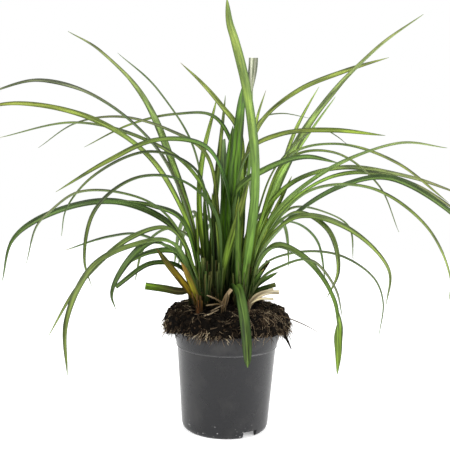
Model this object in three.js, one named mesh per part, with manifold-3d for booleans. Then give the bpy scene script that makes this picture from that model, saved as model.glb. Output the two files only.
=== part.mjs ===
// Carex sedge in its nursery pot. Millimetres, +Z up, origin at the middle of the pot's underside.
// The plant is a tussock of leafy shoots. Each shoot is one solid: a short sheathed stem in a hole
// in the soil, with its leaves fused to it. Directions are in degrees, counted from +X towards +Y.
import * as THREE from "three";
import { mergeVertices } from "three/addons/utils/BufferGeometryUtils.js";
import Module from "manifold-3d";

// ---- Driving dimensions ----
const POT_HEIGHT = 105;
const RIM_RADIUS = 55.5; // an 11 cm pot
const STEP_HEIGHT = 83.5; // the stacking band starts here
const STEP_RADIUS = 49.1;
const FOOT_RADIUS = 43;
const WALL = 1.3;
const FLOOR_TOP = 8.5;
const FLOOR_RECESS = 7; // the floor's underside between the centre foot and the foot ring
const CENTRE_FOOT_RADIUS = 9;
const FOOT_RING = [38.6, 40.4]; // inner and outer radius of the ring that touches the ground
const POT_SIDES = 48;
const DRAIN_HOLES = { count: 6, radius: 4, at: 23 };
const WALL_SLOTS = { bearings: [306, 126], width: 16, height: 6.6 };

const GAP = 0.3; // between pieces that touch
const SOIL_SIDES = 60;
const SOIL_CREST = 126; // top of the mound
const COLLAR_RADIUS = 60.8; // the root ball swells over the rim
const COLLAR_DROPS = [10, 5.5]; // how far it hangs down outside the rim, at the pot's left and right side
const COLLAR_HEIGHT = 8; // the part of it that hangs
const CRUMB_RELIEF = 1.5;

const HOLE_FLOOR = 100;
const HOLE_RADIUS = 4.4;
const STEM_RADIUS = [4, 2.6]; // at its foot and at its top
const STEM_TOP = 148;
const WITHERED_TOP = 136;
const STEM_SIDES = 7;

const LEAF_STEP = 26.2; // length of one facet along a leaf
const KEEL = [1, 0.6]; // thickness on the midrib, at the base and at the tip
const CUP = 0.36; // how far a leaf's margins stand up, as a share of its half width
const TIP_WIDTH = 1;
const LEAF_ROOT = { height: 128, rise: 1.6, offset: 1 }; // where a shoot's first leaf starts, and the next

// A shoot: name, [x, y] of its stem, leaves. A leaf: the bearing it arches along; points that its midrib
// passes, as [reach from the stem, height above the ground, offset to the left of the bearing]; its width;
// how far the blade is turned about its midrib, at even steps from base to tip; and "cut" for a blunt end
// or "lance" for a short point.
const SHOOTS = [
  ["left_upper", [-28, 8], [
    [166, [[9, 196], [46, 273], [108, 322], [174, 340], [236, 326]], 6.5, [-10, 0, 0, 0, -60, -75]],
    [190, [[7, 182], [49, 263], [105, 302], [174, 316], [226, 308]], 7, [-20, -50, -55, -70]],
    [142, [[6, 181], [32, 246], [82, 325], [146, 374], [197, 397]], 8, [-75, -60, -48, -18, 0, 0]],
    [205, [[5, 162], [23, 209], [54, 222], [86, 228]], 6.5, [-60, -60, -55]],
    [205, [[3, 170], [6, 214]], 5, [-60, -60]],
  ]],
  ["left_low", [-34, -8], [
    [196, [[4, 174], [34, 219], [73, 235], [113, 235], [136, 219], [150, 204], [160, 169]], 5,
     [0, 0, 0, -20, 0]],
    [180, [[4, 167], [24, 202], [73, 223], [131, 214], [175, 186], [188, 143]], 8.5, [-20, -50, -50]],
    [168, [[6, 154], [22, 176], [57, 191], [87, 187], [134, 171]], 5, [0, -10, -25]],
    [212, [[6, 165], [21, 178], [48, 179], [76, 168]], 7, [-40, -45, -30]],
    [196, [[3, 147], [16, 163], [43, 166], [76, 144]], 6.5, [-30, -45, -45], "cut"],
    [236, [[9, 158], [30, 181], [68, 193], [98, 179], [118, 155], [114, 140]], 8, [0, -10, -30, 0]],
    [186, [[13, 137], [28, 140], [47, 143]], 9, [-50, -60, -70], "cut"],
    [200, [[4, 152], [10, 184]], 5, [-60, -60]],
  ]],
  ["left_front", [-22, -18], [
    [207, [[10, 157], [38, 202], [78, 195], [125, 155], [155, 110]], 6, [-40, -40, -30]],
    [229, [[12, 143], [47, 192], [99, 193], [141, 179], [168, 138], [168, 92]], 8.5, [-20, -10, -10]],
    [170, [[1, 150], [3, 173]], 4.5, [-70, -70], "cut"],
    [215, [[4, 150], [11, 180]], 5, [-40, -40]],
  ]],
  ["left_back", [-20, 24], [
    [126, [[5, 199], [33, 276], [100, 332], [195, 378]], 5, [60, 50, 40]],
    [90, [[5, 222, 11], [12, 268, 9], [28, 328, -4]], 6, [0, 0]],
    [85, [[6, 218, -4], [14, 268, -6], [30, 330, -10]], 5.5, [0, 0]],
    [108, [[5, 160], [24, 192], [70, 205], [120, 178], [140, 130]], 6, [0, 0, 10]],
    [132, [[5, 150], [22, 178], [66, 188], [112, 160], [128, 120]], 5, [0, 10, 20]],
    [160, [[3, 180], [7, 226]], 6, [-60, -60]],
  ]],
  ["inner_left", [-12, 8], [
    [162, [[4, 211], [33, 258], [87, 286], [160, 298], [249, 280]], 5, [-30, -40, -20]],
    [192, [[8, 207], [23, 256], [68, 273], [120, 250], [147, 218], [152, 192]], 5, [0, -10, -35, -10]],
    [156, [[1, 220], [15, 272], [55, 293], [113, 305], [168, 297], [215, 270]], 4.5, [-20, -40, -30]],
    [175, [[3, 180], [6, 234]], 6, [-60, -60]],
  ]],
  ["inner_front", [-8, -10], [
    [216, [[7, 214], [45, 248], [95, 252], [136, 224], [146, 182], [139, 157]], 5.5, [0, 0, -15, -50]],
    [200, [[2, 165], [6, 208]], 6, [-60, -60]],
    [347, [[8.8, 180.5], [20.1, 222.1], [26.2, 248.4]], 9.5, [60, 70]],
  ]],
  ["centre", [2, 4], [
    [90, [[4, 215, 1], [12, 262, -2], [26, 318, -6], [40, 345, -10]], 13, [0, 0]],
    [100, [[3, 200, 6], [10, 250, 3], [20, 300, -2]], 12, [0, 0]],
    [30, [[3, 183], [15, 228], [21, 277], [20, 316], [19.5, 366]], 11, [-30, -30, -30, -30, -30, 60], "cut"],
    [348, [[2, 215], [16, 275], [45, 292], [97, 298], [145, 295]], 7.5, [0, 0, 50, 80]],
    [334, [[5, 235], [37, 260], [75, 273], [109, 269]], 7.5, [50, 50, 70, 80]],
    [200, [[4, 230], [28, 278], [76, 285], [122, 266], [172, 237]], 6.5, [-30, -50, -60]],
    [320, [[3, 180], [9, 232]], 8, [60, 60]],
  ]],
  ["centre_back", [5, 26], [
    [170, [[-2, 292, -4], [17, 319, -4], [38, 342, -3], [59, 361]], 6.5, [-50, -70, -80]],
    [158, [[1, 266], [24, 307], [69, 309], [121, 297], [176, 272]], 5, [-10, -35, -50]],
    [38, [[9, 240], [17, 281], [32, 307], [57, 313], [97, 309]], 3, [0, 10, 10]],
    [20, [[8, 240], [24, 299], [65, 335], [118, 358], [168, 374]], 7.5, [0, 25, 70]],
  ]],
  ["right_front", [12, -20], [
    [270,
     [[3, 190, 8], [8, 262, 11], [20, 336, 0.5], [33.5, 375.5, -11], [40, 391.4, -16.7], [47.5, 412, -19.7]],
     9.2, [0, 0, 10], "lance"],
    [278, [[6, 148, -5.5], [24, 146, -5], [46, 113, -1.5], [52, 81, 0.5]], 10, [0, 0]],
    [170, [[3, 170], [4, 222]], 7, [-80, -80]],
  ]],
  ["right_mid", [12, 14], [
    [20, [[15, 186], [44, 255], [65, 294], [103, 342], [146, 383], [196, 419]], 9, [70, 65, 58, 22, 8, 0]],
    [52, [[20, 180], [58, 239], [89, 292], [134, 343]], 6, [0, 0]],
    [36, [[17, 175], [50, 246], [86, 294], [119, 332]], 6.5, [-50, -50]],
    [62, [[9, 178, -2], [23, 239, -1], [27, 300, 0], [43, 336, -2]], 5.5, [0, 0]],
    [15, [[14, 176], [34, 214], [51, 251]], 6, [50, 50]],
    [8, [[14, 205], [34, 262], [75, 299], [92, 293], [105, 284]], 3.5, [0, 0, 10]],
    [30, [[5, 172], [15, 226]], 6, [60, 60]],
  ]],
  ["right_upper", [21, 7], [
    [12, [[9, 198], [37, 271], [83, 284], [147, 267], [209, 226]], 6, [10, 10, 10, 0, 55, 80]],
    [22, [[12, 208], [41, 242], [98, 259], [182, 249], [253, 229]], 6, [30, 40, 60, 75]],
    [358, [[12, 188], [38, 229], [85, 265], [143, 287], [188, 284]], 9, [-60, -52, -28, 0, 0]],
    [32, [[18, 186], [48, 217], [92, 212], [125, 194], [133, 157]], 4.5, [0, 10]],
    [356, [[9, 201], [38, 270], [80, 276], [123, 246], [145, 201]], 4.5, [40, 30, 0]],
    [20, [[6, 166], [18, 212]], 6, [60, 60]],
  ]],
  ["right_low", [20, -6], [
    [358, [[12, 177], [48, 219], [95, 247], [133, 253], [191, 223], [231, 178]], 8, [10, 20, 55, 50]],
    [8, [[22, 205], [63, 244], [108, 257], [165, 245], [231, 206]], 6, [10, 20, 50, 60]],
    [338, [[21, 199], [59, 241], [116, 247], [168, 216], [192, 173], [193, 147]], 5, [0, 20, 40]],
    [326, [[15, 182], [55, 217], [108, 209], [146, 178], [146, 147]], 7.5, [40, 40, 0]],
    [330, [[18, 192], [48, 220], [82, 207], [94, 171], [84, 143]], 6, [0, 0, 40, 50]],
    [350, [[6, 162], [17, 202]], 5, [60, 60]],
  ]],
  ["right_edge", [19.5, -17], [
    [325,
     [[12.1, 174, 4.3], [28.1, 187, 4.3], [63.1, 176, 4.3], [91.1, 145, 4.3], [98.1, 104, 4.3], [98.1, 76, 4.3]],
     10, [35, 35, 20, 0, -20, -30, 55, 55]],
    [308, [[13.6, 155, 5.9], [39.6, 171, 5.9], [81.6, 183, 5.9], [112.6, 163, 5.9], [122.6, 140, 5.9]], 4.5,
     [0, 0]],
    [346,
     [[12.3, 166, 1.8], [42.3, 181, 1.8], [85.3, 182, 1.8], [119.3, 163, 1.8], [129.3, 141, 1.8], [127.3, 108, 1.8]],
     4.5, [0, 0]],
    [350, [[8, 141], [27, 149]], 6, [60, 60], "cut"],
    [8, [[9, 147], [29, 160]], 5, [60, 60]],
    [24, [[8, 151], [21, 170]], 5.5, [60, 60], "cut"],
    [338, [[7, 150], [16, 165]], 6, [60, 60]],
  ]],
  ["back", [-6, 38], [
    [93, [[8, 205], [30, 258], [90, 282], [150, 250], [178, 200]], 7, [0, 0, 10]],
    [76, [[6, 190], [28, 232], [85, 248], [142, 215], [165, 160]], 6, [0, 0, 10]],
    [112, [[6, 165], [28, 192], [75, 200], [125, 172], [142, 125]], 6, [0, 0, 10]],
    [88, [[4, 190], [10, 225], [22, 248]], 7, [0, 0]],
    [101, [[5, 150], [25, 180], [70, 190], [125, 160], [140, 115]], 5, [0, 0, 10]],
    [90, [[3, 170], [6, 215]], 6, [0, 0]],
  ]],
  ["back_right", [12, 42], [
    [66, [[5, 160], [24, 190], [75, 204], [128, 180], [148, 130]], 6, [0, 0, 10]],
    [46, [[5, 155], [26, 185], [76, 196], [126, 170], [146, 118]], 5.5, [0, 0, 10]],
    [84, [[5, 170], [22, 222], [72, 240], [128, 210], [150, 155]], 6, [0, 0, 10]],
    [94, [[5, 200], [16, 245], [50, 268], [100, 262]], 6, [0, 0, 10]],
    [60, [[3, 170], [7, 215]], 6, [0, 0]],
  ]],
];

// Withered shoots, of the same make: golden leaves on the left, and straw among the stems.
const GOLDEN = [
  ["golden_leaves", [-27, -33], [
    [200, [[8.4, 141.1], [21.6, 158.1], [34.5, 173.8], [43.4, 186.4]], 7.5, [-80, -80]],
    [222, [[8, 143.6], [15.7, 158.9], [23.2, 173.9]], 8, [20, 20]],
  ]],
];
const STRAW = [
  ["straw_front", [-5, -32], [
    [22, [[2.5, 135], [5, 140], [9, 145]], 5, [60, 40], "cut"],
    [186, [[3, 131], [9, 130.5], [15, 129.5]], 2.5, [0, 0], "cut"],
    [160, [[3, 133.5], [8, 136], [16, 138]], 2.5, [0, 0], "cut"],
  ]],
  ["straw_right", [20, -33], [
    [2, [[3, 133], [9, 139.5], [18, 143.5], [29, 144]], 5, [70, 75], "cut"],
    [12, [[2, 134], [8, 141], [24, 146]], 3.5, [40, 40], "cut"],
    [348, [[3, 133], [10, 137.5], [24, 138.5]], 3, [60, 60], "cut"],
  ]],
];

// ---- Solids ----
const wasm = await Module();
wasm.setup();

function solidOf(geometry) {
  const bare = new THREE.BufferGeometry();
  bare.setAttribute("position", geometry.getAttribute("position"));
  bare.setIndex(geometry.getIndex());
  const merged = mergeVertices(bare, 1e-4);
  return new wasm.Manifold(
    new wasm.Mesh({
      numProp: 3,
      vertProperties: merged.attributes.position.array,
      triVerts: new Uint32Array(merged.index.array),
    }),
  );
}

function geometryOf(solid) {
  const mesh = solid.getMesh();
  const geometry = new THREE.BufferGeometry();
  geometry.setAttribute("position", new THREE.BufferAttribute(mesh.vertProperties, 3));
  geometry.setIndex(new THREE.BufferAttribute(mesh.triVerts, 1));
  geometry.computeVertexNormals();
  return geometry;
}

// Leaves that lean on each other can close off a pocket of air. Only the outer surface is kept, so
// such a pocket is filled.
function fuse(solids) {
  const shells = solids.reduce((all, solid) => all.add(solid)).decompose();
  return shells.reduce((largest, shell) => (shell.volume() > largest.volume() ? shell : largest));
}

function meshOf(name, solid, finish) {
  const mesh = new THREE.Mesh(geometryOf(solid), new THREE.MeshStandardMaterial(finish));
  mesh.name = name;
  return mesh;
}

const lathe = (outline, sides) => {
  const geometry = new THREE.LatheGeometry(outline.map(([r, z]) => new THREE.Vector2(r, z)), sides);
  return geometry.rotateX(Math.PI / 2);
};

// An upright tapered column from z0 to z1.
function column([r0, r1], [x, y], z0, z1, sides) {
  const geometry = new THREE.CylinderGeometry(r1, r0, z1 - z0, sides);
  geometry.rotateX(Math.PI / 2);
  return solidOf(geometry.translate(x, y, (z0 + z1) / 2));
}

const along = (bearing) => {
  const angle = THREE.MathUtils.degToRad(bearing);
  return new THREE.Vector3(Math.cos(angle), Math.sin(angle), 0);
};

// ---- Pot ----
function potOutline() {
  const [ringIn, ringOut] = FOOT_RING;
  const innerStep = STEP_RADIUS - WALL;
  const innerFoot = FOOT_RADIUS - WALL;
  return [
    [0, 0],
    [CENTRE_FOOT_RADIUS, 0],
    [CENTRE_FOOT_RADIUS + 1, FLOOR_RECESS],
    [ringIn - 1, FLOOR_RECESS],
    [ringIn, 0],
    [ringOut, 0],
    [FOOT_RADIUS - 0.9, 1.6],
    [FOOT_RADIUS, 4.5],
    [STEP_RADIUS, STEP_HEIGHT],
    [STEP_RADIUS + 1.1, STEP_HEIGHT + 0.4],
    [STEP_RADIUS + 1.1, STEP_HEIGHT + 1.4],
    [RIM_RADIUS, POT_HEIGHT - 1],
    [RIM_RADIUS - 0.3, POT_HEIGHT],
    [RIM_RADIUS - WALL, POT_HEIGHT],
    [RIM_RADIUS - WALL - 0.2, POT_HEIGHT - 1],
    [innerStep, STEP_HEIGHT],
    [innerFoot, FLOOR_TOP + 2],
    [innerFoot - 2, FLOOR_TOP],
    [0, FLOOR_TOP],
  ];
}

function pot() {
  let solid = solidOf(lathe(potOutline(), POT_SIDES));
  for (let i = 0; i < DRAIN_HOLES.count; i += 1) {
    const spot = along((360 / DRAIN_HOLES.count) * i).multiplyScalar(DRAIN_HOLES.at);
    const radii = [DRAIN_HOLES.radius, DRAIN_HOLES.radius];
    solid = solid.subtract(column(radii, [spot.x, spot.y], -1, FLOOR_TOP + 1, 12));
  }
  for (const bearing of WALL_SLOTS.bearings) {
    const slot = new THREE.BoxGeometry(12, WALL_SLOTS.width, WALL_SLOTS.height * 2);
    slot.translate(FOOT_RADIUS, 0, 0);
    slot.rotateZ(THREE.MathUtils.degToRad(bearing));
    solid = solid.subtract(solidOf(slot));
  }
  return meshOf("pot", solid, { color: "#3c3c3e", roughness: 0.45, metalness: 0 });
}

// ---- Soil ----
// Lumps on the mound, made from three crossing waves.
function lumps(x, y) {
  const a = Math.sin(0.31 * x + 1.3) * Math.sin(0.27 * y + 0.4);
  const b = Math.sin(0.19 * x - 0.43 * y + 2.1);
  const c = Math.sin(0.55 * x + 0.38 * y);
  return a + 0.6 * b + 0.4 * c;
}

function soilOutline() {
  const wallGap = WALL + GAP;
  const rest = POT_HEIGHT + GAP;
  return [
    [0, FLOOR_TOP + GAP],
    [FOOT_RADIUS - wallGap - 2.2, FLOOR_TOP + GAP],
    [FOOT_RADIUS - wallGap - 0.1, FLOOR_TOP + 2.2],
    [STEP_RADIUS - wallGap, STEP_HEIGHT],
    [RIM_RADIUS - wallGap - 0.2, POT_HEIGHT - 1],
    [RIM_RADIUS - wallGap - 0.2, rest],
    [RIM_RADIUS + 1, rest],
    [RIM_RADIUS + 1.4, rest - 0.5],
    [COLLAR_RADIUS - 2, rest - 0.4],
    [COLLAR_RADIUS, rest + 2.5],
    [COLLAR_RADIUS - 0.8, rest + 7.3],
    [53.5, rest + 13.3],
    [44, SOIL_CREST - 3.7],
    [32, SOIL_CREST - 1.8],
    [18, SOIL_CREST - 0.6],
    [0, SOIL_CREST],
  ];
}

// The collar sags at the pot's sides, and everything above the rim is lumpy.
function crumble(geometry) {
  const rest = POT_HEIGHT + GAP;
  const points = geometry.getAttribute("position");
  for (let i = 0; i < points.count; i += 1) {
    const [x, y, z] = [points.getX(i), points.getY(i), points.getZ(i)];
    const r = Math.hypot(x, y);
    if (r > RIM_RADIUS + 1.2) {
      const share = THREE.MathUtils.clamp((rest + COLLAR_HEIGHT - z) / COLLAR_HEIGHT, 0, 1);
      points.setZ(i, z - COLLAR_DROPS[x < 0 ? 0 : 1] * share * (x / r) ** 8);
    }
    if (z > rest + 1) {
      const swell = 1 + (CRUMB_RELIEF * lumps(x, y)) / 70;
      points.setX(i, x * swell);
      points.setY(i, y * swell);
      points.setZ(i, points.getZ(i) + 0.7 * CRUMB_RELIEF * lumps(y, x));
    }
  }
  return geometry;
}

function soil() {
  let solid = solidOf(crumble(lathe(soilOutline(), SOIL_SIDES)));
  for (const [, spot] of [...SHOOTS, ...GOLDEN, ...STRAW]) {
    const radii = [HOLE_RADIUS, HOLE_RADIUS];
    solid = solid.subtract(column(radii, spot, HOLE_FLOOR, SOIL_CREST + 10, 10));
  }
  return meshOf("soil", solid, { color: "#2a1d14", roughness: 1, metalness: 0 });
}

// ---- Leaves ----
// Width along a leaf: it widens out of the sheath, then runs out into a point, or is cut off short.
function widthAt(share, width, end) {
  const widening = 0.7 + 0.3 * THREE.MathUtils.smoothstep(share, 0, 0.3);
  const pointed = (1 - share ** (end === "lance" ? 16 : 6)) ** 0.8;
  const taper = end === "cut" ? 1 - 0.15 * share : pointed;
  return Math.max(width * widening * taper, TIP_WIDTH);
}

// The blade's turn at a share of its length, eased between the given angles.
function turnAt(share, turns) {
  const place = share * (turns.length - 1);
  const i = Math.min(Math.floor(place), turns.length - 2);
  const eased = THREE.MathUtils.smoothstep(place - i, 0, 1);
  return THREE.MathUtils.degToRad(THREE.MathUtils.lerp(turns[i], turns[i + 1], eased));
}

function midrib([x, y], order, bearing, marks) {
  const ahead = along(bearing);
  const left = along(bearing + 90);
  const { height, rise, offset } = LEAF_ROOT;
  const place = ([reach, z, aside = 0]) =>
    new THREE.Vector3(x, y, z).addScaledVector(ahead, reach).addScaledVector(left, aside);
  return new THREE.CatmullRomCurve3([[offset, height + rise * order], ...marks].map(place));
}

// One leaf: at each station a shallow V with a keel below, as [left margin, groove, right margin, keel].
function leaf(spot, order, [bearing, marks, width, turns, end]) {
  const curve = midrib(spot, order, bearing, marks);
  const count = Math.max(3, Math.round(curve.getLength() / LEAF_STEP));
  const points = curve.getSpacedPoints(count);
  const positions = [];
  for (let i = 0; i <= count; i += 1) {
    const share = i / count;
    const tangent = curve.getTangentAt(share);
    const up = tangent.clone().cross(along(bearing + 90)).normalize();
    const side = up.clone().cross(tangent);
    const turn = turnAt(share, turns);
    const across = side.clone().multiplyScalar(Math.cos(turn)).addScaledVector(up, Math.sin(turn));
    const face = up.multiplyScalar(Math.cos(turn)).addScaledVector(side, -Math.sin(turn));
    const half = widthAt(share, width, end) / 2;
    const keel = THREE.MathUtils.lerp(KEEL[0], KEEL[1], share);
    for (const [a, b] of [[half, CUP * half], [0, 0], [-half, CUP * half], [0, -keel]]) {
      const corner = points[i].clone().addScaledVector(across, a).addScaledVector(face, b);
      positions.push(corner.x, corner.y, corner.z);
    }
  }
  const geometry = new THREE.BufferGeometry();
  geometry.setAttribute("position", new THREE.Float32BufferAttribute(positions, 3));
  geometry.setIndex(leafFaces(count));
  return solidOf(geometry);
}

// Both faces of each stretch are split along alike diagonals, so a twisted blade never meets itself.
function leafFaces(count) {
  const faces = [0, 3, 1, 1, 3, 2];
  for (let i = 0; i < count; i += 1) {
    const [a, g, b, k] = [4 * i, 4 * i + 1, 4 * i + 2, 4 * i + 3];
    const [a2, g2, b2, k2] = [a + 4, g + 4, b + 4, k + 4];
    faces.push(a, g, g2, a, g2, a2);
    faces.push(g, b, b2, g, b2, g2);
    faces.push(b, k, b2, k, k2, b2);
    faces.push(k, a, k2, a, a2, k2);
  }
  const end = 4 * count;
  faces.push(end, end + 1, end + 3, end + 1, end + 2, end + 3);
  return faces;
}

function shoot([name, spot, leaves], top, finish) {
  const stem = column(STEM_RADIUS, spot, HOLE_FLOOR + GAP, top, STEM_SIDES);
  const blades = leaves.map((row, order) => leaf(spot, order, row));
  return meshOf(name, fuse([stem, ...blades]), finish);
}

// ---- Assembly ----
const GREEN_LEAF = { color: "#4f7d2e", roughness: 0.55, metalness: 0 };
const GOLDEN_LEAF = { color: "#a5701e", roughness: 0.7, metalness: 0 };
const DRY_LEAF = { color: "#c9b68b", roughness: 0.85, metalness: 0 };

const sedge = new THREE.Group();
sedge.add(pot(), soil());
SHOOTS.forEach((row) => sedge.add(shoot(row, STEM_TOP, GREEN_LEAF)));
GOLDEN.forEach((row) => sedge.add(shoot(row, WITHERED_TOP, GOLDEN_LEAF)));
STRAW.forEach((row) => sedge.add(shoot(row, WITHERED_TOP, DRY_LEAF)));

export default sedge;
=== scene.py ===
"""Carex sedge in its nursery pot: the living surface of the plant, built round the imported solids.

The tables are in millimetres and degrees, as a grower would measure the plant; every mesh is in metres.
Bearings count from +X towards +Y. The pot stands at the origin, and +Z is up.
"""

import math
import random

import bmesh
import bpy
import numpy as np
from mathutils import Matrix, Vector, noise


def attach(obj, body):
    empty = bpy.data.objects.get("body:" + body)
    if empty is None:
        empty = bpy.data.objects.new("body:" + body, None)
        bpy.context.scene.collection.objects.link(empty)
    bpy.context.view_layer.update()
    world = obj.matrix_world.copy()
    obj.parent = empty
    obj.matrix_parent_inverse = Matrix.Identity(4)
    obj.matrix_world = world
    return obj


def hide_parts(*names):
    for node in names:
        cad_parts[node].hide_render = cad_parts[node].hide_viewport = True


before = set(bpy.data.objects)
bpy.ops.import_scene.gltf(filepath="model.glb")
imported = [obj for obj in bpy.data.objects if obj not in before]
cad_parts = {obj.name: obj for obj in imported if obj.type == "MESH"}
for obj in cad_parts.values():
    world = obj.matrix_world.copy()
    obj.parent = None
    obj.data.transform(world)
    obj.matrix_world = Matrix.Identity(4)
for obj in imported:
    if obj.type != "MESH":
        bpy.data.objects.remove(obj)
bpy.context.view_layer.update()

MM = 0.001
MATH = "ShaderNodeMath"
VECTOR_MATH = "ShaderNodeVectorMath"

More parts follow.
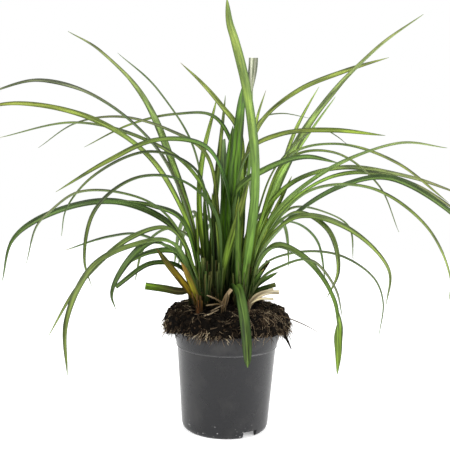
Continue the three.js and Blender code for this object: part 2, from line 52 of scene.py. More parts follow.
# ---- Leaves: where each one grows ----
# Shoot: name, [x, y] of its stem, leaves. Leaf: bearing; marks on its midrib as (reach, height, offset to
# the left); width; turn of the blade about its midrib at even steps; tone; "cut" for a blunt end or "lance"
# for a short point.
GREEN_SHOOTS = [
    ("left_upper", (-28, 8), [
        (166, [(9, 196), (46, 273), (108, 322), (174, 340), (236, 326)], 6.5, [-10, 0, 0, 0, -60, -75],
         "dusky"),
        (190, [(7, 182), (49, 263), (105, 302), (174, 316), (226, 308)], 7, [-20, -50, -55, -70], "lime"),
        (142, [(6, 181), (32, 246), (82, 325), (146, 374), (197, 397)], 8, [-75, -60, -48, -18, 0, 0],
         "grey"),
        (205, [(5, 162), (23, 209), (54, 222), (86, 228)], 6.5, [-60, -60, -55], "deep"),
        (205, [(3, 170), (6, 214)], 5, [-60, -60], "green"),
    ]),
    ("left_low", (-34, -8), [
        (196, [(4, 174), (34, 219), (73, 235), (113, 235), (136, 219), (150, 204), (160, 169)], 5,
         [0, 0, 0, -20, 0], "olive"),
        (180, [(4, 167), (24, 202), (73, 223), (131, 214), (175, 186), (188, 143)], 8.5, [-20, -50, -50],
         "deep"),
        (168, [(6, 154), (22, 176), (57, 191), (87, 187), (134, 171)], 5, [0, -10, -25], "deep"),
        (212, [(6, 165), (21, 178), (48, 179), (76, 168)], 7, [-40, -45, -30], "deep"),
        (196, [(3, 147), (16, 163), (43, 166), (76, 144)], 6.5, [-30, -45, -45], "dark", "cut"),
        (236, [(9, 158), (30, 181), (68, 193), (98, 179), (118, 155), (114, 140)], 8, [0, -10, -30, 0],
         "deep"),
        (186, [(13, 137), (28, 140), (47, 143)], 9, [-50, -60, -70], "cut_stub", "cut"),
        (200, [(4, 152), (10, 184)], 5, [-60, -60], "ochre"),
    ]),
    ("left_front", (-22, -18), [
        (207, [(10, 157), (38, 202), (78, 195), (125, 155), (155, 110)], 6, [-40, -40, -30], "green"),
        (229, [(12, 143), (47, 192), (99, 193), (141, 179), (168, 138), (168, 92)], 8.5, [-20, -10, -10],
         "green"),
        (170, [(1, 150), (3, 173)], 4.5, [-70, -70], "cream", "cut"),
        (215, [(4, 150), (11, 180)], 5, [-40, -40], "dark"),
    ]),
    ("left_back", (-20, 24), [
        (126, [(5, 199), (33, 276), (100, 332), (195, 378)], 5, [60, 50, 40], "dusky"),
        (90, [(5, 222, 11), (12, 268, 9), (28, 328, -4)], 6, [0, 0], "young"),
        (85, [(6, 218, -4), (14, 268, -6), (30, 330, -10)], 5.5, [0, 0], "green"),
        (108, [(5, 160), (24, 192), (70, 205), (120, 178), (140, 130)], 6, [0, 0, 10], "green"),
        (132, [(5, 150), (22, 178), (66, 188), (112, 160), (128, 120)], 5, [0, 10, 20], "olive"),
        (160, [(3, 180), (7, 226)], 6, [-60, -60], "deep"),
    ]),
    ("inner_left", (-12, 8), [
        (162, [(4, 211), (33, 258), (87, 286), (160, 298), (249, 280)], 5, [-30, -40, -20], "green"),
        (192, [(8, 207), (23, 256), (68, 273), (120, 250), (147, 218), (152, 192)], 5, [0, -10, -35, -10],
         "shaded"),
        (156, [(1, 220), (15, 272), (55, 293), (113, 305), (168, 297), (215, 270)], 4.5, [-20, -40, -30],
         "olive"),
        (175, [(3, 180), (6, 234)], 6, [-60, -60], "shaded"),
    ]),
    ("inner_front", (-8, -10), [
        (216, [(7, 214), (45, 248), (95, 252), (136, 224), (146, 182), (139, 157)], 5.5, [0, 0, -15, -50],
         "shaded"),
        (200, [(2, 165), (6, 208)], 6, [-60, -60], "shaded"),
        (347, [(8.8, 180.5), (20.1, 222.1), (26.2, 248.4)], 9.5, [60, 70], "green"),
    ]),
    ("centre", (2, 4), [
        (90, [(4, 215, 1), (12, 262, -2), (26, 318, -6), (40, 345, -10)], 13, [0, 0], "vivid"),
        (100, [(3, 200, 6), (10, 250, 3), (20, 300, -2)], 12, [0, 0], "vivid"),
        (30, [(3, 183), (15, 228), (21, 277), (20, 316), (19.5, 366)], 11, [-30, -30, -30, -30, -30, 60],
         "bleached", "cut"),
        (348, [(2, 215), (16, 275), (45, 292), (97, 298), (145, 295)], 7.5, [0, 0, 50, 80], "gilded"),
        (334, [(5, 235), (37, 260), (75, 273), (109, 269)], 7.5, [50, 50, 70, 80], "deep"),
        (200, [(4, 230), (28, 278), (76, 285), (122, 266), (172, 237)], 6.5, [-30, -50, -60], "ripening"),
        (320, [(3, 180), (9, 232)], 8, [60, 60], "green"),
    ]),
    ("centre_back", (5, 26), [
        (170, [(-2, 292, -4), (17, 319, -4), (38, 342, -3), (59, 361)], 6.5, [-50, -70, -80], "grey"),
        (158, [(1, 266), (24, 307), (69, 309), (121, 297), (176, 272)], 5, [-10, -35, -50], "ripening"),
        (38, [(9, 240), (17, 281), (32, 307), (57, 313), (97, 309)], 3, [0, 10, 10], "olive"),
        (20, [(8, 240), (24, 299), (65, 335), (118, 358), (168, 374)], 7.5, [0, 25, 70], "lime"),
    ]),
    ("right_front", (12, -20), [
        (270,
         [(3, 190, 8), (8, 262, 11), (20, 336, 0.5), (33.5, 375.5, -11), (40, 391.4, -16.7),
          (47.5, 412, -19.7)],
         9.2, [0, 0, 10], "pale", "lance"),
        (278, [(6, 148, -5.5), (24, 146, -5), (46, 113, -1.5), (52, 81, 0.5)], 10, [0, 0], "deep", "lance"),
        (170, [(3, 170), (4, 222)], 7, [-80, -80], "deep"),
    ]),
    ("right_mid", (12, 14), [
        (20, [(15, 186), (44, 255), (65, 294), (103, 342), (146, 383), (196, 419)], 9,
         [70, 65, 58, 22, 8, 0], "grey"),
        (52, [(20, 180), (58, 239), (89, 292), (134, 343)], 6, [0, 0], "fresh"),
        (36, [(17, 175), (50, 246), (86, 294), (119, 332)], 6.5, [-50, -50], "fresh"),
        (62, [(9, 178, -2), (23, 239, -1), (27, 300, 0), (43, 336, -2)], 5.5, [0, 0], "fresh"),
        (15, [(14, 176), (34, 214), (51, 251)], 6, [50, 50], "fresh"),
        (8, [(14, 205), (34, 262), (75, 299), (92, 293), (105, 284)], 3.5, [0, 0, 10], "olive"),
        (30, [(5, 172), (15, 226)], 6, [60, 60], "fresh"),
    ]),
    ("right_upper", (21, 7), [
        (12, [(9, 198), (37, 271), (83, 284), (147, 267), (209, 226)], 6, [10, 10, 10, 0, 55, 80], "lime"),
        (22, [(12, 208), (41, 242), (98, 259), (182, 249), (253, 229)], 6, [30, 40, 60, 75], "fading"),
        (358, [(12, 188), (38, 229), (85, 265), (143, 287), (188, 284)], 9, [-60, -52, -28, 0, 0], "grey"),
        (32, [(18, 186), (48, 217), (92, 212), (125, 194), (133, 157)], 4.5, [0, 10], "olive"),
        (356, [(9, 201), (38, 270), (80, 276), (123, 246), (145, 201)], 4.5, [40, 30, 0], "fading"),
        (20, [(6, 166), (18, 212)], 6, [60, 60], "fresh"),
    ]),
    ("right_low", (20, -6), [
        (358, [(12, 177), (48, 219), (95, 247), (133, 253), (191, 223), (231, 178)], 8, [10, 20, 55, 50],
         "deep"),
        (8, [(22, 205), (63, 244), (108, 257), (165, 245), (231, 206)], 6, [10, 20, 50, 60], "fading"),
        (338, [(21, 199), (59, 241), (116, 247), (168, 216), (192, 173), (193, 147)], 5, [0, 20, 40],
         "green"),
        (326, [(15, 182), (55, 217), (108, 209), (146, 178), (146, 147)], 7.5, [40, 40, 0], "green"),
        (330, [(18, 192), (48, 220), (82, 207), (94, 171), (84, 143)], 6, [0, 0, 40, 50], "green"),
        (350, [(6, 162), (17, 202)], 5, [60, 60], "fresh"),
    ]),
    ("right_edge", (19.5, -17), [
        (325,
         [(12.1, 174, 4.3), (28.1, 187, 4.3), (63.1, 176, 4.3), (91.1, 145, 4.3), (98.1, 104, 4.3),
          (98.1, 76, 4.3)],
         12, [35, 35, 20, 0, -20, -30, 55, 55], "broad_tip"),
        (308, [(13.6, 155, 5.9), (39.6, 171, 5.9), (81.6, 183, 5.9), (112.6, 163, 5.9), (122.6, 140, 5.9)],
         4.5, [0, 0], "dusky"),
        (346,
         [(12.3, 166, 1.8), (42.3, 181, 1.8), (85.3, 182, 1.8), (119.3, 163, 1.8), (129.3, 141, 1.8),
          (127.3, 108, 1.8)],
         4.5, [0, 0], "dusky"),
        (350, [(8, 141), (27, 149)], 6, [60, 60], "cream", "cut"),
        (8, [(9, 147), (29, 160)], 5, [60, 60], "dark"),
        (24, [(8, 151), (21, 170)], 5.5, [60, 60], "russet", "cut"),
        (338, [(7, 150), (16, 165)], 6, [60, 60], "dark"),
    ]),
    ("back", (-6, 38), [
        (93, [(8, 205), (30, 258), (90, 282), (150, 250), (178, 200)], 7, [0, 0, 10], "deep"),
        (76, [(6, 190), (28, 232), (85, 248), (142, 215), (165, 160)], 6, [0, 0, 10], "green"),
        (112, [(6, 165), (28, 192), (75, 200), (125, 172), (142, 125)], 6, [0, 0, 10], "olive"),
        (88, [(4, 190), (10, 225), (22, 248)], 7, [0, 0], "deep"),
        (101, [(5, 150), (25, 180), (70, 190), (125, 160), (140, 115)], 5, [0, 0, 10], "deep"),
        (90, [(3, 170), (6, 215)], 6, [0, 0], "green"),
    ]),
    ("back_right", (12, 42), [
        (66, [(5, 160), (24, 190), (75, 204), (128, 180), (148, 130)], 6, [0, 0, 10], "green"),
        (46, [(5, 155), (26, 185), (76, 196), (126, 170), (146, 118)], 5.5, [0, 0, 10], "deep"),
        (84, [(5, 170), (22, 222), (72, 240), (128, 210), (150, 155)], 6, [0, 0, 10], "green"),
        (94, [(5, 200), (16, 245), (50, 268), (100, 262)], 6, [0, 0, 10], "lime"),
        (60, [(3, 170), (7, 215)], 6, [0, 0], "deep"),
    ]),
]
GOLDEN_SHOOTS = [
    ("golden_leaves", (-27, -33), [
        (200, [(8.4, 141.1), (21.6, 158.1), (34.5, 173.8), (43.4, 186.4)], 7.5, [-80, -80], "golden"),
        (222, [(8, 143.6), (15.7, 158.9), (23.2, 173.9)], 8, [20, 20], "ochre"),
    ]),
]
STRAW_SHOOTS = [
    ("straw_front", (-5, -32), [
        (22, [(2.5, 135), (5, 140), (9, 145)], 5, [60, 40], "stubble", "cut"),
        (186, [(3, 131), (9, 130.5), (15, 129.5)], 2.5, [0, 0], "stubble", "cut"),
        (160, [(3, 133.5), (8, 136), (16, 138)], 2.5, [0, 0], "stubble", "cut"),
    ]),
    ("straw_right", (20, -33), [
        (2, [(3, 133), (9, 139.5), (18, 143.5), (29, 144)], 5, [70, 75], "straw", "cut"),
        (12, [(2, 134), (8, 141), (24, 146)], 3.5, [40, 40], "straw", "cut"),
        (348, [(3, 133), (10, 137.5), (24, 138.5)], 3, [60, 60], "straw", "cut"),
    ]),
]

# Tone of a leaf: the blade, and its tip.
TONES = {
    "green": ("#4b5e28", "#5a682e"),
    "fresh": ("#82a04e", "#849c42"),
    "deep": ("#374d20", "#405822"),
    "dark": ("#253b15", "#3b5221"),
    "lime": ("#637931", "#666e2c"),
    "ripening": ("#26481a", "#5f6c22"),
    "olive": ("#4f5929", "#555838"),
    "dusky": ("#464b30", "#5a5e48"),
    "gilded": ("#19200c", "#768c2c"),
    "young": ("#637931", "#5c6e2c"),
    "fading": ("#668431", "#666443"),
    "grey": ("#718d46", "#7a824d"),
    "pale": ("#5f8530", "#8a9540"),
    "bleached": ("#567429", "#a9ac96"),
    "cream": ("#1e2f0a", "#51572c"),
    "russet": ("#1c2d0e", "#3a160c"),
    "ochre": ("#747a18", "#7a581a"),
    "golden": ("#66570a", "#2d4114"),
    "shaded": ("#121c09", "#4d5c26"),
    "vivid": ("#35550f", "#416a18"),
    "straw": ("#a89e7e", "#b8b195"),
    "broad_tip": ("#46582a", "#627f22"),
    "stubble": ("#5a4a30", "#9c8c6c"),
    "cut_stub": ("#4a4426", "#54781a"),
    "dead_sheath": ("#1c130a", "#46341e"),
}
# Tones that get no greening and no painted light in the heart of the tuft. The first three turn to their
# tip's tone late.
OWN_TONES = ("bleached", "cream", "russet", "ochre", "golden", "straw", "stubble", "cut_stub", "dead_sheath",
             "pale")
DRIED_TIPS = OWN_TONES[:3]
NO_SHADED_SHEATH = ("straw", "stubble", "dead_sheath")  # dead leaves, with no dark sheath and no painted shade at the foot
LEAF_VARIES = (0.84, 1.16)  # one leaf is so much darker or lighter than another
TIP_OVER = (0.35, 1.0)  # share of the length over which a leaf turns to its tip's tone
DRIES_OVER = (0.74, 0.93)  # and over which a dried tip does
RUSTY_TIP = "#8d7440"
RUSTY_SHARE = 0.25  # so many of the leaves have a rusty tip
RUST_LENGTH = 7

SHADED_SHEATH = "#100c05"  # a leaf's foot below its blade: its sheath's brown, darkened as painted shade
SHADED_SHEATH_HEIGHTS = (120, 160)  # the painted shade gives way to green between these heights
SHADED = {  # and between these, higher in the dark middle and lower on the light side
    "inner_front": (128, 185), "inner_left": (140, 240), "left_front": (122, 185), "centre": (138, 212),
    "left_back": (128, 215), "centre_back": (130, 230), "back": (130, 230), "back_right": (130, 230),
    "left_upper": (120, 172), "right_front": (116, 138), "right_mid": (118, 145),
    "right_upper": (118, 145), "right_low": (118, 145), "right_edge": (118, 140),
}
HEART_RADII = (25, 80)  # within the first a leaf is fresher green and lightened as painted light; both fade by the second
HEART_TINT_AND_LIGHT = np.array([(1.35, 1.45, 0.86, 1), (1.9, 1.82, 1.8, 1)])  # on the left, and on the lit right
LIGHT_SIDE = (0, 25)  # from where to where, along X, the one gives way to the other

# Skin of a blade. Its veins really stand 0.3 mm apart, and are drawn further apart so that they show.
VEIN_SPACING = 0.8
STREAKS_PER_MM = (0.42, 0.035)  # across the blade and along it
DRIFTS_PER_MM = 0.012  # changes of hue along it

# Shape of a blade, in millimetres
ROOT_HEIGHT = 128  # where a shoot's first leaf leaves its stem
ROOT_RISE = 1.6  # and how much higher each of the next ones does
SHEATH_FOOT = 111  # the leaf's foot, hidden in the soil
STATION = 4  # distance between sections
BLADE_POINTS = 16  # points round a section
KEEL = (1.0, 0.5)  # thickness on the midrib, at the base and at the tip
FOLD = (66, 29)  # degrees that each half stands up, in the sheath and in the blade
WIDER = 1.06  # makes up for the width that the fold takes
UNFOLDS = (4, 32)  # length over which it opens, counted from the foot
POINT_WIDTH = 0.35
# A leaf wavers in its line, in how its blade tips and in its width: by how much, and in how many
# millimetres to each radian of the wave.
SWAY = (0.5, 27)
TIPPING = (math.radians(5), 19)
WIDTH_WAVER = (0.03, 11)

# The stem within a shoot, and the strips of dead sheath round it
STEM_SECTIONS = 14
STEM_RADII = (3.3, 1.2)  # at its foot and at its top
STEM_TAPERS = 135  # height where it begins to taper
STRIP_LEAN = (1, 7)
STRIP_RING = (2.2, 3.6)  # distance from the stem's axis
STRIP_WIDTH = (1.4, 3.2)
STRIP_TURN = 40

# ---- Pot and soil, in millimetres ----
POT_HEIGHT = 105
RIM_RADIUS = 55.5
STEP_HEIGHT = 83.5
STEP_RADIUS = 49.1
FOOT_RADIUS = 43
WALL = 1.3
FLOOR_TOP = 8.5
FLOOR_RECESS = 7  # the floor is so far above the feet
CENTRE_FOOT = 9  # radius
FOOT_RING = (38.6, 40.4)  # inner and outer radius
POT_SIDES = 160
SLOT_BEARINGS = (306, 126)
SLOT_SIZE = (12, 16, 13.2)
DRAIN_HOLES = 6
DRAIN_RING = 23
DRAIN_RADIUS = 4
EDGE_ROUNDING = 0.5

SOIL_SIDES = 300
COLLAR_RADIUS = 60.8
COLLAR_DROPS = (10, 5.5)  # at the left and right side
COLLAR_HEIGHT = 8
SOIL_REST = POT_HEIGHT + 0.3
SOIL_TOP = [(60.8, 107.8), (60, 112.6), (53.5, 118.6), (44, 122.3), (32, 124.2), (18, 125.4), (0, 126)]
SOIL_STEP = 1.1  # distance between points where the soil shows
BURIED_STEP = 20  # and within the pot
SWELL = 1.5  # height of the root ball's broad swells
CLODS = (7, 2.1)  # size of its clods, and how far they stand out
GRIT = (2.3, 0.9)  # and the same of its grit

LYING_FIBRES = 620
LYING_RADIUS = 60  # within which they start
LYING_STEP = 2.6  # from one bend to the next
SOIL_EDGE = 59.5  # radius beyond which they droop
HANGING = 12  # and by how much at most
FRINGE_FIBRES = 1150
FRINGE_STEP = 1.2


def linear(colour):
    """An sRGB hex colour as linear red, green, blue and alpha."""
    parts = [int(colour[i:i + 2], 16) / 255 for i in (1, 3, 5)]
    return np.array([c / 12.92 if c <= 0.04045 else ((c + 0.055) / 1.055) ** 2.4 for c in parts] + [1.0])


def add(tree, kind, links=None, **settings):
    """A node of a tree, with its settings, and with its inputs linked to other nodes or given a value."""
    node = tree.nodes.new(kind)
    for name, value in settings.items():
        setattr(node, name, value)
    for place, source in (links or {}).items():
        if isinstance(source, bpy.types.Node):
            source = next(out for out in source.outputs if out.enabled)
        if isinstance(source, bpy.types.NodeSocket):
            tree.links.new(source, node.inputs[place])
        else:
            node.inputs[place].default_value = source
    return node


def smoothstep(value, low, high):
    share = np.clip((value - low) / (high - low), 0, 1)
    return share * share * (3 - 2 * share)


def between(first, second, share):
    """The first at a share of 0, the second at 1."""
    return first * (1 - share) + second * share


def along(bearing):
    """The level direction of a bearing."""
    angle = math.radians(bearing)
    return np.array([math.cos(angle), math.sin(angle), 0.0])


# ---- Materials ----
def new_material(name):
    material = bpy.data.materials.new(name)
    material.use_nodes = True
    material.node_tree.nodes.clear()
    return material, material.node_tree


def per_mm(size):
    """Noise scale, on object coordinates, of spots that are about so many millimetres wide."""
    return 1 / (size * MM)


def leaf_material(name, roughness, ribs, underside, midrib, margin, contrast, wander):
    """A ribbed leaf: its own tint, streaked along the veins, with a midrib and a duller underside.

    The numbers say how rough the skin is, how much its ribs stand out, how far the streaks differ in
    lightness and how far the hue wanders along the blade.
    """
    material, tree = new_material(name)
    read = {
        label: add(tree, "ShaderNodeAttribute", attribute_name=label)
        for label in ("tint", "across", "across_mm", "along_mm", "under", "leaf_seed")
    }
    number = {label: node.outputs["Fac"] for label, node in read.items()}
    wave = add(tree, MATH, {0: number["across_mm"], 1: 2 * math.pi / VEIN_SPACING}, operation="MULTIPLY")
    veins = add(tree, MATH, {0: wave}, operation="SINE")
    lane = add(tree, MATH, {0: number["across_mm"], 1: STREAKS_PER_MM[0]}, operation="MULTIPLY")
    run = add(tree, MATH, {0: number["along_mm"], 1: STREAKS_PER_MM[1]}, operation="MULTIPLY")
    apart = add(tree, MATH, {0: number["leaf_seed"], 1: 60.0}, operation="MULTIPLY")
    place = add(tree, "ShaderNodeCombineXYZ", {0: lane, 1: run, 2: apart})
    streaks = add(tree, "ShaderNodeTexNoise", {"Vector": place, "Scale": 1.0, "Detail": 3.0})
    drift_run = add(tree, MATH, {0: number["along_mm"], 1: DRIFTS_PER_MM}, operation="MULTIPLY")
    drift_place = add(tree, "ShaderNodeCombineXYZ", {0: drift_run, 1: apart})
    drift = add(tree, "ShaderNodeTexNoise", {"Vector": drift_place, "Scale": 1.0, "Detail": 2.0})

    # Lightness: streaks, and slow changes along the blade.
    light = add(tree, "ShaderNodeMapRange", {0: streaks, 1: 0.34, 2: 0.66, 3: 1 - contrast, 4: 1 + contrast})
    slow = add(tree, "ShaderNodeMapRange", {0: drift, 1: 0.3, 2: 0.7, 3: 0.96, 4: 1.3})
    both = add(tree, MATH, {0: light, 1: slow}, operation="MULTIPLY")
    vein_light = add(tree, MATH, {0: veins, 1: 0.07 * ribs, 2: both}, operation="MULTIPLY_ADD")
    hue = add(tree, "ShaderNodeMapRange", {0: drift, 1: 0.3, 2: 0.7, 3: 0.491 - wander, 4: 0.491 + wander})
    body = add(tree, "ShaderNodeHueSaturation",
               {"Hue": hue, "Value": vein_light, "Color": read["tint"].outputs["Color"]})

    # The midrib is pale on the upper face, and the margins are dark. Within the sheath neither shows.
    beyond_sheath = add(tree, "ShaderNodeMapRange",
                        {0: number["along_mm"], 1: 20.0, 2: 75.0, 3: 0.05, 4: 1.0})
    off_rib = add(tree, MATH, {0: number["across_mm"]}, operation="ABSOLUTE")
    rib_line = add(tree, "ShaderNodeMapRange", {0: off_rib, 1: 0.2, 2: 0.8, 3: 0.22, 4: 0.0})
    rib = add(tree, MATH, {0: rib_line, 1: beyond_sheath}, operation="MULTIPLY")
    off_centre = add(tree, MATH, {0: number["across"]}, operation="ABSOLUTE")
    edge = add(tree, "ShaderNodeMapRange", {0: off_centre, 1: 0.35, 2: 0.92, 3: 0.0, 4: 0.8})
    below = add(tree, MATH, {0: number["under"], 1: beyond_sheath}, operation="MULTIPLY")
    dull = add(tree, MATH, {0: below, 1: 0.42}, operation="MULTIPLY")
    skin = body.outputs["Color"]
    for amount, colour in ((rib, midrib), (edge, margin), (dull, underside)):
        layer = add(tree, "ShaderNodeMix", {"Factor": amount, 6: skin, 7: linear(colour)}, data_type="RGBA")
        skin = layer.outputs[2]

    matt = add(tree, "ShaderNodeMapRange",
               {0: streaks, 1: 0.2, 2: 0.8, 3: roughness - 0.06, 4: roughness + 0.08})
    relief = add(tree, MATH, {0: veins, 1: 0.6, 2: streaks}, operation="MULTIPLY_ADD")
    bump = add(tree, "ShaderNodeBump", {"Strength": 0.35 * ribs, "Distance": 0.12 * MM, "Height": relief})
    # A blade is dull by its foot, and has a sheen where it arches over.
    sheen = add(tree, "ShaderNodeMapRange", {0: number["along_mm"], 1: 60.0, 2: 170.0, 3: 0.12, 4: 0.42})
    shader = add(tree, "ShaderNodeBsdfPrincipled",
                 {"Base Color": skin, "Roughness": matt, "Normal": bump, "IOR": 1.4,
                  "Specular IOR Level": sheen})
    add(tree, "ShaderNodeOutputMaterial", {"Surface": shader})
    return material


def pot_material():
    """Injection-moulded polypropylene, recycled charcoal grade.

    Satin, with a fine grain from the mould, faint drag marks down the wall, and dry dust that hands and
    peat have left, most of it on the band under the rim.
    """
    material, tree = new_material("moulded charcoal polypropylene")
    where = add(tree, "ShaderNodeTexCoord").outputs["Object"]
    axes = add(tree, "ShaderNodeSeparateXYZ", {0: where})
    tall = add(tree, "ShaderNodeMapping", {"Vector": where, "Scale": (1.0, 1.0, 0.12)})
    flat = add(tree, "ShaderNodeMapping", {"Vector": where, "Scale": (1.0, 1.0, 2.2)})
    drag, cloud, grain, nicks = (
        add(tree, "ShaderNodeTexNoise", {"Vector": stretched, "Scale": per_mm(size), "Detail": detail})
        for stretched, size, detail in ((tall, 3, 3.0), (where, 22, 5.0), (where, 0.7, 2.0), (flat, 4, 6.0)))

    # Dust: in clouds, thicker on the band, and thin below it.
    high = add(tree, "ShaderNodeMapRange",
               {0: axes.outputs["Z"], 1: (STEP_HEIGHT - 6) * MM, 2: (STEP_HEIGHT + 8) * MM, 3: 0.15, 4: 0.35})
    patch = add(tree, "ShaderNodeMapRange", {0: cloud, 1: 0.52, 2: 0.75, 3: 0.0, 4: 0.4})
    dust = add(tree, MATH, {0: high, 1: patch}, operation="MULTIPLY")
    # The bead under the band is pale: partly rubbed wear, partly a painted highlight along its edge.
    off_bead = add(tree, MATH, {0: axes.outputs["Z"], 1: (STEP_HEIGHT + 1) * MM}, operation="SUBTRACT")
    near_bead = add(tree, MATH, {0: off_bead}, operation="ABSOLUTE")
    rub_and_highlight = add(tree, "ShaderNodeMapRange", {0: near_bead, 1: 0.3 * MM, 2: 1.2 * MM, 3: 0.22, 4: 0.0})
    # Scuffs: short pale scratches near the foot.
    low = add(tree, "ShaderNodeMapRange", {0: axes.outputs["Z"], 1: 3 * MM, 2: 16 * MM, 3: 1.0, 4: 0.0})
    sharp = add(tree, "ShaderNodeMapRange", {0: nicks, 1: 0.66, 2: 0.7, 3: 0.0, 4: 0.8})
    scuff = add(tree, MATH, {0: low, 1: sharp}, operation="MULTIPLY")
    skin = linear("#0b0b0e")
    for amount, colour in ((drag, "#111115"), (dust, "#77746f"), (rub_and_highlight, "#8c8c8c"), (scuff, "#b9b8b6")):
        layer = add(tree, "ShaderNodeMix", {"Factor": amount, 6: skin, 7: linear(colour)}, data_type="RGBA")
        skin = layer.outputs[2]

    matt = add(tree, "ShaderNodeMapRange", {0: dust, 1: 0.0, 2: 0.4, 3: 0.27, 4: 0.65})
    height = add(tree, MATH, {0: drag, 1: 0.6, 2: grain}, operation="MULTIPLY_ADD")
    bump = add(tree, "ShaderNodeBump", {"Strength": 0.16, "Distance": 0.1 * MM, "Height": height})
    shader = add(tree, "ShaderNodeBsdfPrincipled",
                 {"Base Color": skin, "Roughness": matt, "Normal": bump, "IOR": 1.49,
                  "Specular IOR Level": 0.38})
    add(tree, "ShaderNodeOutputMaterial", {"Surface": shader})
    return material


def peat_material(name, ramp, grain_mm, roughness):
    """Peat, bark and root, dry on top: dull, dark, each crumb and fibre of its own tone."""
    material, tree = new_material(name)
    where = add(tree, "ShaderNodeTexCoord").outputs["Object"]
    tone = add(tree, "ShaderNodeAttribute", attribute_name="tone").outputs["Fac"]
    fleck = add(tree, "ShaderNodeTexNoise", {"Vector": where, "Scale": per_mm(grain_mm), "Detail": 5.0})
    spread = add(tree, "ShaderNodeMapRange", {0: fleck, 1: 0.25, 2: 0.75, 3: -0.22, 4: 0.22})
    mixed = add(tree, MATH, {0: tone, 1: spread}, operation="ADD", use_clamp=True)
    colours = add(tree, "ShaderNodeValToRGB", {0: mixed})
    stops = colours.color_ramp.elements
    stops[0].position, stops[0].color = ramp[0][0], linear(ramp[0][1])
    stops[1].position, stops[1].color = ramp[-1][0], linear(ramp[-1][1])
    for position, colour in ramp[1:-1]:
        stops.new(position).color = linear(colour)
    bump = add(tree, "ShaderNodeBump", {"Strength": 0.7, "Distance": 0.5 * MM, "Height": fleck})
    shader = add(tree, "ShaderNodeBsdfPrincipled",
                 {"Base Color": colours, "Roughness": roughness, "Normal": bump, "IOR": 1.4,
                  "Specular IOR Level": 0.12})
    add(tree, "ShaderNodeOutputMaterial", {"Surface": shader})
    return material


def card_material():
    """Matt white card for a backdrop, with the faint mottle of its coating."""
    material, tree = new_material("matt white card")
    where = add(tree, "ShaderNodeTexCoord").outputs["Object"]
    mottle = add(tree, "ShaderNodeTexNoise", {"Vector": where, "Scale": per_mm(60), "Detail": 3.0})
    tint = add(tree, "ShaderNodeMix",
               {"Factor": mottle, 6: linear("#f4f4f5"), 7: linear("#f8f8f8")}, data_type="RGBA")
    shader = add(tree, "ShaderNodeBsdfPrincipled",
                 {"Base Color": tint.outputs[2], "Roughness": 0.9, "Emission Color": (1, 1, 1, 1),
                  "Emission Strength": 0.32})
    add(tree, "ShaderNodeOutputMaterial", {"Surface": shader})
    return material


GREEN_LEAF = leaf_material(
    "living sedge leaf, ribbed", 0.5, 1.0, "#648442", "#8fae5a", "#1a2c0e", 0.7, 0.009)
GOLDEN_LEAF = leaf_material(
    "withering sedge leaf, ribbed", 0.6, 1.2, "#8a7430", "#a8843a", "#2a1e08", 0.85, 0.035)
DRY_LEAF = leaf_material(
    "dead sedge leaf, papery", 0.8, 1.6, "#a89c7c", "#b8ad92", "#6b5c40", 0.6, 0.009)
POT_PLASTIC = pot_material()
PEAT = peat_material(
    "dry peat and bark, crumbled",
    [(0.0, "#060403"), (0.45, "#100c08"), (0.72, "#221910"), (0.9, "#4a3b2b"), (1.0, "#8a7860")], 1.2, 0.95)
ROOT_FIBRE = peat_material(
    "dead root fibre, fine",
    [(0.0, "#0d0907"), (0.45, "#2b2117"), (0.75, "#605140"), (0.92, "#96866c"), (1.0, "#c4b698")], 0.8, 0.85)
WHITE_CARD = card_material()


# ---- Growing with Geometry Nodes ----
def new_tree(name, inputs):
    """A geometry tree with its named inputs, and the two ends that its nodes go between."""
    tree = bpy.data.node_groups.new(name, "GeometryNodeTree")
    tree.interface.new_socket("Geometry", in_out="INPUT", socket_type="NodeSocketGeometry")
    for label, kind in inputs.items():
        tree.interface.new_socket(label, in_out="INPUT", socket_type=kind)
    tree.interface.new_socket("Geometry", in_out="OUTPUT", socket_type="NodeSocketGeometry")
    return tree, tree.nodes.new("NodeGroupInput").outputs


def finish_tree(tree, source, geometry):
    """Ends a tree: smooth shading, real geometry in place of instances, and the material."""
    smooth = add(tree, "GeometryNodeSetShadeSmooth", {0: geometry})
    real = add(tree, "GeometryNodeRealizeInstances", {"Geometry": smooth})
    made = add(tree, "GeometryNodeSetMaterial", {"Geometry": real, "Material": source["Material"]})
    add(tree, "NodeGroupOutput", {"Geometry": made})
    return tree


